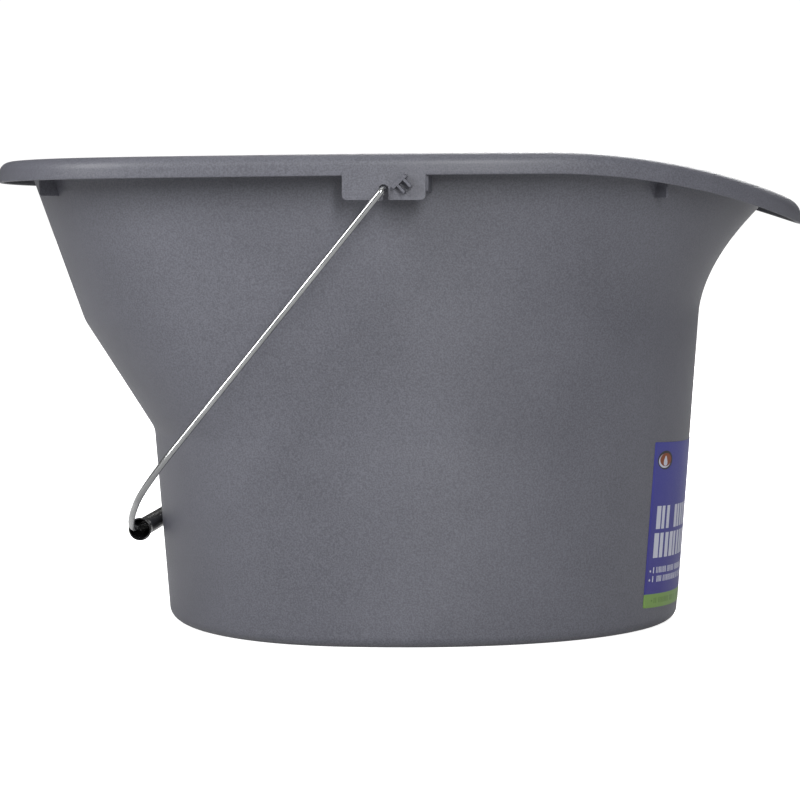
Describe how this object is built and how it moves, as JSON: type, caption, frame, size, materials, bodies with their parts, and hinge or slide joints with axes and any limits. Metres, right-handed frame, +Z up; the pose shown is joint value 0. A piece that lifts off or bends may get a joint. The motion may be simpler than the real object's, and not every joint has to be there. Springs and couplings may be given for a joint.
{
  "type": "wash bucket",
  "caption": "Oval moulded plastic wash bucket with a drooping pouring nose, swinging wire bail, tube grip and a nose label.",
  "frame": {"origin": "on the floor below the middle of the rim's length and width (bottom centre of the bounding box)", "axes": "+X towards the pouring nose and the label, +Y across the bucket along the bail's pivot axis, +Z up"},
  "size_m": [0.417, 0.3078, 0.2415],
  "materials": {
    "tub_plastic": "fine moulded grain, satin",
    "zinc_wire": "bright zinc-plated wire",
    "grip_plastic": "glossy black",
    "label_film": "printed film, semi-gloss"
  },
  "bodies": {
    "bucket": {"tub": "tub_plastic", "nose_label": "label_film"},
    "bail": {"bail_wire": "zinc_wire"},
    "handle": {"grip": "grip_plastic"}
  },
  "joints": [
    {"name": "bail_swing", "type": "hinge", "parent": "bucket", "child": "bail", "pos_m": [0.0072, 0, 0.2239], "axis": [0, 1, 0], "range_deg": [0, 186]},
    {"name": "grip_spin", "type": "hinge", "parent": "bail", "child": "handle", "pos_m": [-0.13245, 0, 0.04883], "axis": [0, 1, 0], "continuous": true}
  ]
}
